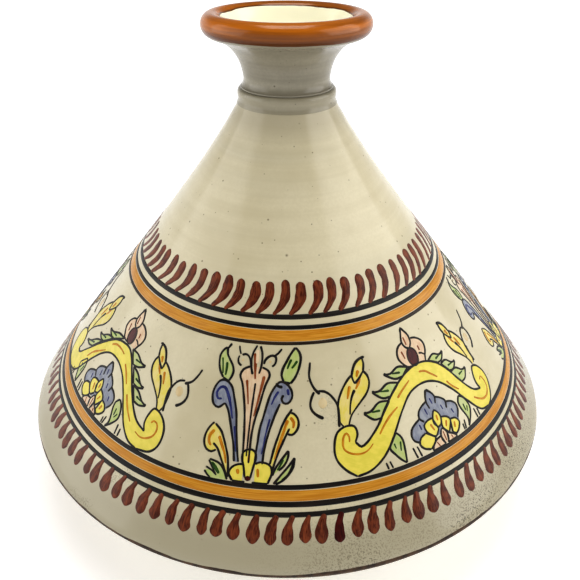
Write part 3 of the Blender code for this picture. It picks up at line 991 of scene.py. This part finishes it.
ARCHES = {
    "high": {
        "over": [
            (-21.8, 41.0), (-20.6, 39.2), (-19.3, 39.9), (-17.5, 41.9), (-15.2, 44.9), (-12.7, 49.1),
            (-7.8, 54.7), (-2.3, 57.9), (2.9, 57.8), (6.8, 55.2), (10.0, 50.0), (12.0, 44.8), (15.2, 38.5),
            (17.7, 36.7),
        ],
        "right": [
            (17.7, 36.7), (17.3, 39.4), (17.8, 42.2), (19.2, 44.6), (20.9, 43.6), (22.3, 40.5),
            (22.4, 36.6), (20.9, 33.0), (19.0, 30.6), (17.3, 29.9),
        ],
        "under": [
            (17.3, 29.9), (14.4, 31.2), (11.0, 37.8), (8.1, 44.3), (4.5, 49.5), (0.3, 51.7), (-4.6, 50.8),
            (-8.5, 46.5), (-12.4, 40.0), (-15.7, 34.7), (-19.4, 31.4), (-22.5, 30.5),
        ],
        "left": [
            (-22.5, 30.5), (-24.7, 33.0), (-26.4, 36.6), (-26.6, 40.5), (-25.5, 44.8), (-23.3, 46.3),
            (-21.4, 45.8), (-21.0, 43.2), (-21.8, 41.0),
        ],
        "leaves": [
            ((-2.8, 58.7), (-5.2, 56.6), (-10.7, 59.2)),
            ((-7.2, 55.2), (-10.6, 51.9), (-15.2, 54.8)),
            ((-11.2, 50.8), (-14.4, 46.3), (-18.5, 49.0)),
            ((4.6, 57.2), (7.6, 54.8), (11.1, 57.0)),
            ((8.4, 53.8), (10.3, 49.9), (13.9, 51.3)),
            ((10.3, 49.2), (12.6, 43.8), (16.4, 46.6)),
        ],
        "swell": 1.1,
        "curl": [
            (-23.1, 41.3), (-23.0, 42.9), (-23.5, 44.1), (-24.2, 43.4), (-24.6, 41.6), (-24.6, 39.6),
            (-23.7, 38.2), (-22.2, 37.3), (-20.6, 37.1), (-19.1, 37.8), (-17.8, 39.3),
        ],
        "shading": [
            [(-15.8, 41.5), (-14.0, 44.1), (-11.7, 46.5), (-9.5, 48.0)],
            [(-8.8, 50.6), (-6.9, 52.4), (-3.9, 54.5)],
            [(0.0, 55.6), (1.9, 54.9), (3.5, 53.0), (5.2, 50.8)],
            [(7.4, 47.8), (8.4, 45.4), (10.2, 42.6)],
            [
                (13.7, 36.6), (15.0, 34.9), (16.7, 33.3), (18.7, 33.1), (20.4, 34.9), (20.7, 37.7),
                (20.1, 39.6), (19.2, 38.9),
            ],
        ],
        "bud": (0.1, 61.0),
        "sprigs": (
            (1, (-22.9, 46.2), (1.0, 1.0), TAIL_UP, 0.0),
            (-1, (20.3, 45.0), (0.74, 1.02), TAIL_OUT, 0.5),
        ),
    },
    "low": {
        "over": [
            (-20.6, 36.7), (-19.4, 36.2), (-18.1, 37.2), (-16.7, 39.4), (-14.2, 43.3), (-10.8, 48.3),
            (-7.1, 52.8), (-3.3, 56.1), (0.0, 57.2), (3.4, 57.1), (5.9, 55.0), (8.4, 51.1), (10.9, 46.6),
            (13.4, 42.2), (16.3, 38.3), (19.3, 36.5),
        ],
        "right": [
            (19.3, 36.5), (18.6, 38.8), (18.8, 41.8), (19.9, 44.7), (21.8, 44.1), (23.6, 41.6),
            (24.3, 38.3), (23.8, 33.8), (22.2, 31.3), (18.8, 30.2),
        ],
        "under": [
            (18.8, 30.2), (16.3, 31.0), (13.4, 34.4), (10.9, 39.4), (8.8, 43.6), (5.9, 48.0), (2.5, 50.5),
            (-0.8, 51.1), (-3.7, 50.3), (-6.7, 47.7), (-9.2, 43.8), (-11.7, 38.8), (-13.8, 33.8),
            (-15.6, 31.2), (-18.6, 29.9),
        ],
        "left": [
            (-18.6, 29.9), (-23.6, 30.4), (-26.2, 33.4), (-27.2, 37.4), (-26.0, 41.2), (-23.4, 42.9),
            (-21.1, 41.6), (-20.2, 39.0), (-20.6, 36.7),
        ],
        "leaves": [
            ((-0.8, 58.4), (-5.6, 54.9), (-10.0, 56.1)),
            ((-5.8, 54.9), (-9.8, 50.4), (-14.0, 50.8)),
            ((-10.2, 50.2), (-14.0, 44.4), (-19.0, 42.8)),
            ((4.8, 57.8), (7.6, 53.6), (12.1, 55.4)),
            ((8.2, 53.2), (10.6, 48.4), (14.4, 48.7)),
            ((10.9, 48.0), (13.2, 43.4), (17.1, 44.0)),
        ],
        "swell": 0.6,
        "curl": [
            (20.3, 40.0), (20.9, 41.0), (21.9, 40.6), (22.4, 39.0), (22.0, 36.6), (20.6, 34.9),
            (18.8, 34.2), (17.0, 35.0),
        ],
        "shading": [
            [(-13.0, 40.5), (-11.4, 43.8), (-8.6, 47.0), (-6.0, 49.6)],
            [(-4.6, 53.2), (-2.6, 54.6), (0.6, 54.8), (2.6, 54.2)],
            [(4.8, 52.0), (6.6, 49.8), (8.6, 46.6)],
            [(10.2, 44.0), (12.0, 40.6), (14.6, 36.8)],
        ],
        "bud": (1.7, 61.1),
        "sprigs": (
            (1, (-22.4, 42.9), (1.15, 1.2), TAIL_UP, 0.0),
            (-1, (20.6, 44.8), (0.83, 1.0), TAIL_OUT, 0.9),
        ),
    },
}


def arch(brush, kind):
    """A thick yellow scroll that rises between two hooks, with what grows on it and under it."""
    parts = ARCHES[kind]
    flower(brush)
    for upper, lower, tip in parts["leaves"]:
        side_leaf(brush, upper, lower, tip, parts["swell"])
    brush.shape(
        "green", [(-11.9, 40.4), (-13.2, 38.3), (-14.2, 36.3), (-13.3, 33.9), (-12.2, 31.7), (-11.2, 30.3)],
        [(-11.2, 30.3), (-10.8, 34.8), (-10.7, 37.4), (-11.1, 39.1), (-11.9, 40.4)],
    )
    brush.mark("deep_green", [(-13.0, 37.4), (-12.8, 35.6)], (1.1, 0.7))
    brush.mark("deep_green", [(-11.4, 37.4), (-11.8, 34.4)], (1.0, 0.7))
    brush.shape(
        "green", [(8.9, 41.0), (7.9, 39.4), (7.9, 37.0), (8.4, 34.4), (8.6, 32.2), (7.9, 30.2)],
        [(7.9, 30.2), (9.6, 32.6), (10.8, 35.2), (10.6, 38.0), (9.8, 40.0), (8.9, 41.0)],
    )
    brush.mark("deep_green", [(9.1, 37.8), (9.1, 35.2)], (1.0, 0.7))
    brush.mark("deep_green", [(10.1, 36.4), (9.4, 34.6)], (0.9, 0.7))
    for x, top, lean in (
        (-15.9, 32.4, 0.3), (-15.0, 32.5, 0.4), (-8.9, 33.9, 0.5), (-7.8, 33.8, 0.5), (7.2, 33.2, -0.5),
        (6.3, 32.4, -0.1), (11.7, 33.8, 0.0), (12.8, 33.0, -0.1),
    ):
        brush.line([(x, top), (x + lean, 30.2)], (0.8, 0.9))
    bud(brush.moved(at=parts["bud"]))
    for flip, top, size, tail, belly in parts["sprigs"]:
        sprig(brush.moved(flip=flip, at=top, size=size), tail, belly)
    sides = [parts[side] for side in ("over", "right", "under", "left")]
    brush.fill("yellow", *sides, layer=3, turn=60)
    for side in sides:
        brush.line(side, (1.05,))
    brush.mark("ochre", parts["curl"], (1.0, 1.3, 1.1, 0.7))
    for points in parts["shading"]:
        brush.mark("ochre", points, (1.2, 1.4, 0.8))


# ---------------------------------------------------------------- bands and rows of strokes


def hand_line(seed, size):
    """How far a line held against the turning wheel strays, in mm, at an angle in degrees."""
    picks = random.Random(seed)
    waves = [
        (k, picks.uniform(0, 2 * math.pi), size / k**0.5 * picks.uniform(0.5, 1))
        for k in (1, 2, 3, 5, 8)
    ]
    return lambda degrees: sum(a * math.sin(math.radians(degrees) * k + p) for k, p, a in waves)


def band(name, paint_name, low, high, lift, seed):
    """A painted band right round the lid."""
    lower, upper = hand_line(seed, 0.07), hand_line(seed + 100, 0.07)
    steps = 300
    rows = (
        (0.0, SKIRT, 1.0),
        (0.06, lift * 0.9, 0.7),
        (0.35, lift, 0.0),
        (0.65, lift, 0.0),
        (0.94, lift * 0.9, 0.7),
        (1.0, SKIRT, 1.0),
    )
    skin = Skin()
    points, brush, rim, faces = [], [], [], []
    for step in range(steps):
        degrees = 360 * step / steps
        turn = math.radians(degrees)
        for part, up, edge in rows:
            h = low + lower(degrees) + (high - low + upper(degrees) - lower(degrees)) * part
            points.append(on_lid(degrees, h, up))
            # along the band the brush number goes round a circle, so that the ends meet without a seam
            brush.append(((h - low) * SLANT, 26 * math.sin(turn), seed + 1.1 * math.cos(turn)))
            rim.append(edge)
    n = len(rows)
    for step in range(steps):
        after = (step + 1) % steps
        for k in range(n):
            m = (k + 1) % n
            faces.append((step * n + k, after * n + k, after * n + m, step * n + m))
    skin.add(points, faces, brush, rim)
    return skin.make(name, paint_name)


def upper_strokes(count=64):
    """Commas that hang from the plain cone down to the upper lines: a round head and a tail to the left."""
    picks = random.Random(SEED + 1)
    skin = Brush.skin("red")
    for k in range(count):
        at = 360 * k / count - 0.3 + picks.uniform(-0.7, 0.7)
        tall, fat = picks.uniform(-0.6, 0.5), picks.uniform(0.9, 1.08)
        points = [(0.1, 93.8 + tall), (0.4, 90.8), (0.1, 88.2), (-1.4, 85.4), (-3.7, 82.8)]
        widths = [w * fat for w in (4.4, 5.2, 4.8, 3.6, 2.0)]
        stroke(
            skin,
            [(at + x, h) for x, h in points],
            widths,
            LIFT["stroke"],
            picks.random() * SEED_SPREAD,
            ends=(0.9, 0.5),
        )


def lower_strokes(count=113):
    """Drops under the lower lines: thin where they leave the line, fat at the foot."""
    picks = random.Random(SEED + 2)
    for k in range(count):
        at = 360 * k / count + 0.1 + picks.uniform(-0.28, 0.28)
        low, fat, lean = picks.uniform(-0.5, 0.5), picks.uniform(0.85, 1.1), picks.uniform(0.6, 1.3)
        points = [(0.1, 12.2 + low), (0.1, 15.2), (0.35 * lean, 18.2), (1.0 * lean, 20.9)]
        widths = [w * fat for w in (5.0, 6.6, 5.4, 3.5, 2.6)]
        skin = Brush.skin("deep_red" if k == 3 else "red")
        stroke(
            skin,
            [(at + x, h) for x, h in points],
            widths,
            LIFT["stroke"],
            picks.random() * SEED_SPREAD,
            ends=(1.0, 0.5),
        )


# ---------------------------------------------------------------- pieces


def cone_piece():
    crown = CONE_TOP - 0.0080
    crown_edge = (COLLAR_RADIUS - WALL_ACROSS, crown - 0.0040)
    steepen = (cone_radius(STEEPEN_HEIGHT) - WALL_ACROSS, STEEPEN_HEIGHT)
    foot_inner = cone_radius(LID_FOOT_UPRIGHT) - WALL_ACROSS
    outline = [
        *lid_outside(), (0, CONE_TOP), (0, crown),
        *bend((crown_edge[0] / 2, crown), (crown_edge[0], crown), crown_edge, 6),
        *bend(crown_edge, (SHOULDER[0] - WALL_ACROSS, SHOULDER[1]), steepen, 22)[1:],
        *line(steepen, (foot_inner + 0.0008, LID_FOOT_UPRIGHT + 0.0010), 40)[1:],
        *bend((foot_inner, LID_FOOT_UPRIGHT), (foot_inner, 0), (foot_inner + 0.0008, 0), 4),
    ]

    def surface(angle, radius, z):
        height = z - LID_FOOT_Z
        on_outside = radius > np.interp(height, OUTSIDE[:, 1], OUTSIDE[:, 0]) - 0.0015 and height > 0.0015
        if on_outside:
            return float(lid_surface(angle, height))
        return radius + float(throwing_rings(height, 0.00009)) * (0.004 < height < 0.140)

    look = glazed("lid_glaze", bare_below=LID_FOOT_Z + 0.0032, grime=0.9)
    lifted = [(r, z + LID_FOOT_Z) for r, z in outline]
    piece = turned("glazed_cone", lifted, 288, look.material, "lid", surface)
    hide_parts("lid_cone")
    return piece


COLLAR_INNER = 0.0160  # hidden inside the knob's foot
RUN_IN = 0.0003  # how far the glaze runs the collar into the pieces above and below


def collar_piece():
    """The collar, run into the cone and the knob's foot by the glaze."""
    low, high = COLLAR_LOW.z, COLLAR_HIGH.z
    top = high + RUN_IN * 0.6
    outline = [
        (COLLAR_INNER, low - RUN_IN), (COLLAR_RADIUS + 0.0003, low - RUN_IN),
        *bend(
            (COLLAR_RADIUS + 0.0001, low + 0.0003), (COLLAR_RADIUS - 0.0006, low + 0.0014),
            (COLLAR_RADIUS - 0.0003, low + 0.0030), 5,
        ),
        *bend(
            (COLLAR_RADIUS - 0.0002, low + 0.0035), (COLLAR_RADIUS, high - 0.0006),
            (COLLAR_RADIUS - 0.0010, high - 0.0001), 6,
        ),
        (COLLAR_RADIUS - 0.0022, top), (COLLAR_INNER, top),
    ]
    # a darker cream than the cone's: painted shade, as the knob's roll shades the neck
    look = glazed("collar_glaze", cream=srgb(166, 159, 138), deep=srgb(150, 143, 123))
    piece = turned("glazed_collar", outline, 192, look.material, "lid")
    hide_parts("lid_collar")
    return piece


KNOB_TOP = KNOB_HIGH.z
KNOB_BASE = COLLAR_HIGH.z + 0.0003
STEM_RADIUS = 0.0146
KNOB_FOOT = 0.0206
NECK = (0.0192, KNOB_BASE + 0.0042)
RIM_ROLL = 0.0048
ROLL = (RIM_RADIUS - RIM_ROLL, KNOB_TOP - RIM_ROLL)  # the rolled rim's centre
CUP_FLOOR = KNOB_TOP - 0.0165
DIP_DEPTH = 0.0081  # how far down the outside the orange goes
DIP_EDGE = ROLL[0] - RIM_ROLL * math.cos(math.radians(38))  # and how far in, at the cup's mouth


def knob_outline():
    outer = arc(ROLL, RIM_ROLL, -75, 90, 30)
    inner = arc(ROLL, RIM_ROLL, 90, 150, 12)
    return [
        (0, KNOB_LOW.z),
        (STEM_RADIUS, KNOB_LOW.z),
        (STEM_RADIUS, KNOB_BASE),
        (KNOB_FOOT, KNOB_BASE),
        *bend((KNOB_FOOT, KNOB_BASE + 0.0006), (NECK[0], KNOB_BASE + 0.0014), NECK, 8),
        *bend(NECK, (NECK[0] + RIM_ROLL * 0.3, ROLL[1] - RIM_ROLL * 1.7), outer[0], 30)[1:],
        *outer[1:],
        *inner[1:],
        *bend(inner[-1], (inner[-1][0] - 0.0078, CUP_FLOOR), (0.0080, CUP_FLOOR), 24)[1:],
        (0, CUP_FLOOR),
    ]


def dipped_orange(look, reach, z):
    """The rim's orange: streaked round, with painted shade on the roll's underside that darkens it to its
    lower edge, and darker along its inner edge.
    """
    streaks = look.noise(1.0, detail=4, rough=0.6, place=look.stretched((16, 16, 420)))
    orange = look.mix(look.range(streaks, 0.36, 0.64), srgb(148, 84, 6), srgb(184, 108, 12))
    # painted shade: the roll's underside darkened down to the orange's lower edge
    shade_under_roll = look.range(z, KNOB_TOP - 0.0030, KNOB_TOP - 0.0078)
    orange = look.mix(look.times(shade_under_roll, 0.85), orange, srgb(72, 32, 2))
    inner_edge = look.range(reach, DIP_EDGE + 0.0007, DIP_EDGE + 0.0002, 0.0, 0.75)
    return look.mix(inner_edge, orange, srgb(70, 44, 18))


def knob_look():
    # a darker cream than the cone's: painted shade on the neck and flare under the roll
    look = glazed("knob_glaze", cream=srgb(148, 142, 125), deep=srgb(131, 125, 109))
    z, across = look.parts()[2], look.across()
    wander = look.range(look.noise(55, detail=2), 0.3, 0.7, -0.0002, 0.0002)
    reach = look.plus(across, wander)
    on_roll = look.above(look.plus(z, wander), KNOB_TOP - DIP_DEPTH)
    dipped = look.times(on_roll, look.above(reach, DIP_EDGE))
    wall = look.math("MULTIPLY_ADD", look.math("SUBTRACT", z, CUP_FLOOR), 0.9, 0.0213)
    inside = look.times(look.below(across, wall), look.above(z, CUP_FLOOR - 0.001))
    # painted light: the cup's inside made nearly white, as if brightly lit from above
    painted_light_inside = look.mix(look.times(inside, 0.96), look.now("Base Color"), srgb(255, 251, 224))
    look.colour(look.mix(dipped, painted_light_inside, dipped_orange(look, reach, z)))
    return look


def knob_piece():
    """The flared cup. Its rolled rim is dipped in orange, and the rest is cream."""

    def surface(angle, radius, z):
        return radius + 0.00006 * math.sin(3 * angle + 1) + float(throwing_rings(z, 0.00002))

    piece = turned("glazed_knob", knob_outline(), 192, knob_look().material, "lid", surface)
    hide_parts("knob_cup")
    return piece


SEAT_OUTER = cone_radius(LID_FOOT_UPRIGHT) - WALL_ACROSS - 0.0015  # 1.5 mm inside the lid
SEAT_WIDTH = 0.0070
SEAT_INNER = SEAT_OUTER - SEAT_WIDTH
LEDGE_Z = DISH_HIGH.z - 0.0060
LEDGE_OUTER = LID_RADIUS - LID_FOOT_INSET - 0.0012
LEDGE_EDGE = (LEDGE_OUTER - 0.0070, LEDGE_Z - 0.0065)  # where the belly meets the ledge's slanted underside
FOOT_RADIUS = 0.0880
FOOT_INNER = FOOT_RADIUS - 0.0095
FOOT_RECESS = 0.0030
BOWL_FLOOR = (0.0840, 0.0085)


def dish_outline():
    foot, inner, recess = FOOT_RADIUS, FOOT_INNER, FOOT_RECESS
    rounding = SEAT_WIDTH / 2
    under_ledge = (LEDGE_OUTER - 0.0002, LEDGE_Z - 0.0016)
    return [
        (0, recess),
        (inner - recess, recess),
        *bend((inner - recess * 0.8, recess * 0.9), (inner, recess * 0.5), (inner + 0.0006, 0), 5),
        (foot - 0.0008, 0),
        *bend((foot - 0.0002, 0.0002), (foot, 0.0016), (foot + 0.0003, recess), 4),
        *bend(
            (foot + 0.0004, recess + 0.0002),
            (foot + 0.62 * (LEDGE_EDGE[0] - foot), 0.16 * LEDGE_EDGE[1]),
            LEDGE_EDGE,
            44,
        ),
        *bend(LEDGE_EDGE, (LEDGE_EDGE[0] + 0.0045, LEDGE_EDGE[1] + 0.0030), under_ledge, 10)[1:],
        *arc((LEDGE_OUTER - 0.0010, LEDGE_Z - 0.0010), 0.0010, -20, 90, 6),
        *line((LEDGE_OUTER - 0.0012, LEDGE_Z), (SEAT_OUTER + 0.0004, LEDGE_Z), 4)[1:],
        *arc((SEAT_OUTER - rounding, DISH_HIGH.z - rounding), rounding, 0, 180, 20),
        *bend((SEAT_INNER, LEDGE_Z - 0.0032), (SEAT_INNER, BOWL_FLOOR[1]), BOWL_FLOOR, 34),
        *line(BOWL_FLOOR, (0.002, BOWL_FLOOR[1]), 20)[1:],
        (0, BOWL_FLOOR[1]),
    ]


# The dish's painted band: how far under the ledge it starts and ends, and its colour
DISH_BAND = (
    (0.0118, 0.0104, (40, 30, 22)),
    (0.0104, 0.0066, (214, 138, 36)),
    (0.0066, 0.0052, (40, 30, 22)),
)


def dish_look():
    # a darker cream than the lid's: painted shade against the light from the glowing floor
    look = glazed("dish_glaze", bare_below=0.0034, cream=srgb(198, 189, 161), deep=srgb(184, 174, 146))
    z, across = look.parts()[2], look.across()
    wander = look.range(look.noise(60, detail=2), 0.3, 0.7, -0.0003, 0.0003)
    on_ledge = look.above(look.plus(across, wander), SEAT_OUTER + 0.0006)
    bare = look.times(on_ledge, look.above(z, LEDGE_Z - 0.0012))
    outside = look.above(across, SEAT_INNER + 0.0005)
    level = look.plus(z, look.times(wander, 0.6))
    colour = look.now("Base Color")
    for low, high, shade in DISH_BAND:
        within = look.times(look.above(level, LEDGE_Z - low), look.below(level, LEDGE_Z - high))
        colour = look.mix(look.times(within, outside), colour, srgb(*shade))
    look.colour(look.mix(bare, colour, look.clay()))
    look.roughness(look.math("MAXIMUM", look.now("Roughness"), look.times(bare, BARE_ROUGHNESS)))
    return look


def dish_piece():
    """The dish: glazed in and out, bare clay on its foot and where the lid stands."""

    def surface(angle, radius, z):
        if radius < 0.003 or z < 0.001:
            return radius
        return radius + 0.00012 * math.sin(2 * angle + 0.4) + float(throwing_rings(z, 0.00003))

    piece = turned("glazed_dish", dish_outline(), 240, dish_look().material, "base", surface)
    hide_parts("dish")
    return piece


cone_piece()
collar_piece()
knob_piece()
dish_piece()

for seed, (name, paint_name, low, high, layer) in enumerate(
    (
        ("upper_grey_line", "grey_line", 81.3, 83.1, "stripe"),
        ("upper_black_line", "line", 78.0, 79.5, "stripe"),
        ("upper_orange_band", "orange", 74.2, 78.0, "band"),
        ("upper_brown_line", "brown_line", 73.0, 74.3, "stripe"),
        ("lower_brown_line", "line", 28.4, 30.1, "stripe"),
        ("lower_orange_band", "orange", 25.1, 28.5, "band"),
        ("lower_black_line", "line", 23.3, 25.2, "stripe"),
        ("lower_grey_line", "grey_line", 20.2, 21.9, "stripe"),
    )
):
    band(name, paint_name, low, high, LIFT[layer], seed)

upper_strokes()
lower_strokes()
for quarter in range(4):
    palmette(Brush(-8.0 + 90 * quarter, shake=0.0 if quarter == 0 else 0.25))
    arch(
        Brush(37.1 + 90 * quarter, shake=0.0 if quarter in (0, 3) else 0.25),
        "low" if quarter == 3 else "high",
    )
for name, skin in Brush.skins.items():
    skin.make("brushwork_" + name, name)


# ---------------------------------------------------------------- stage


WALL_LIGHT = 1.0
CEILING_LIGHT = 0.25
LEFT_POWER = 7.0
RIGHT_POWER = 10.2
TOP_POWER = 3.8
FLOOR_GLOW = (0.42, 0.85)  # the floor's own light, near the pot and far from it
GAMMA = 0.8  # under 1, for deeper shades


def floor():
    look = Look("pale_floor", roughness=0.9, specular=0.1)
    grain = look.range(look.noise(3.0, detail=2), 0.3, 0.7)
    look.colour(look.mix(grain, (0.84, 0.84, 0.84, 1), (0.87, 0.87, 0.87, 1)))
    look.shader.inputs["Emission Color"].default_value = (1, 1, 1, 1)
    far = look.node("ShaderNodeVectorMath", operation="LENGTH")
    look.feed(far.inputs[0], look.place)
    look.feed(
        look.shader.inputs["Emission Strength"],
        look.range(far.outputs["Value"], 0.25, 1.6, *FLOOR_GLOW),
    )
    bpy.ops.mesh.primitive_plane_add(size=12, location=(0, 0, -0.0002))
    plane = bpy.context.active_object
    plane.name = "floor"
    plane.data.materials.append(look.material)


def soft_light(name, place, aim, size, power, colour=(1, 1, 1)):
    data = bpy.data.lights.new(name, "AREA")
    data.shape = "RECTANGLE"
    data.size, data.size_y = size
    data.energy = power
    data.color = colour
    light = bpy.data.objects.new(name, data)
    light.location = place
    light.rotation_euler = (Vector(aim) - Vector(place)).to_track_quat("-Z", "Y").to_euler()
    bpy.context.scene.collection.objects.link(light)


def studio():
    """A pale room whose walls are lighter than its ceiling, a softbox on each side and one above."""
    world = bpy.data.worlds.new("studio")
    world.use_nodes = True
    nodes, links = world.node_tree.nodes, world.node_tree.links
    place = nodes.new("ShaderNodeTexCoord").outputs["Generated"]
    parts = nodes.new("ShaderNodeSeparateXYZ")
    links.new(place, parts.inputs[0])
    fade = nodes.new("ShaderNodeMapRange")
    fade.interpolation_type = "SMOOTHSTEP"
    links.new(parts.outputs["Z"], fade.inputs["Value"])
    levels = {"From Min": 0.12, "From Max": 0.45, "To Min": WALL_LIGHT, "To Max": CEILING_LIGHT}
    for socket, value in levels.items():
        fade.inputs[socket].default_value = value
    links.new(fade.outputs["Result"], nodes["Background"].inputs["Strength"])
    nodes["Background"].inputs["Color"].default_value = (1, 1, 1, 1)
    bpy.context.scene.world = world
    aim = (0, 0, 0.12)
    soft_light("left_softbox", (-1.20, -0.10, 0.55), aim, (1.3, 1.1), LEFT_POWER)
    soft_light("right_softbox", (1.15, -0.15, 0.68), aim, (1.3, 1.1), RIGHT_POWER)
    soft_light("top_softbox", (0.0, 0.0, 1.0), (0, 0.001, 0), (0.5, 0.5), TOP_POWER)


def camera():
    data = bpy.data.cameras.new("camera")
    data.sensor_width = SENSOR
    data.lens = CAMERA_LENS
    data.clip_start = 0.01
    view = bpy.data.objects.new("camera", data)
    view.location = (CAMERA_SIDE, -CAMERA_BACK, LID_FOOT_Z + CAMERA_UP)
    view.rotation_euler = Euler((math.radians(90 - CAMERA_PITCH), 0, 0))
    bpy.context.scene.collection.objects.link(view)
    bpy.context.scene.camera = view


floor()
studio()
camera()
bpy.context.scene.view_settings.view_transform = "Standard"
bpy.context.scene.view_settings.gamma = GAMMA
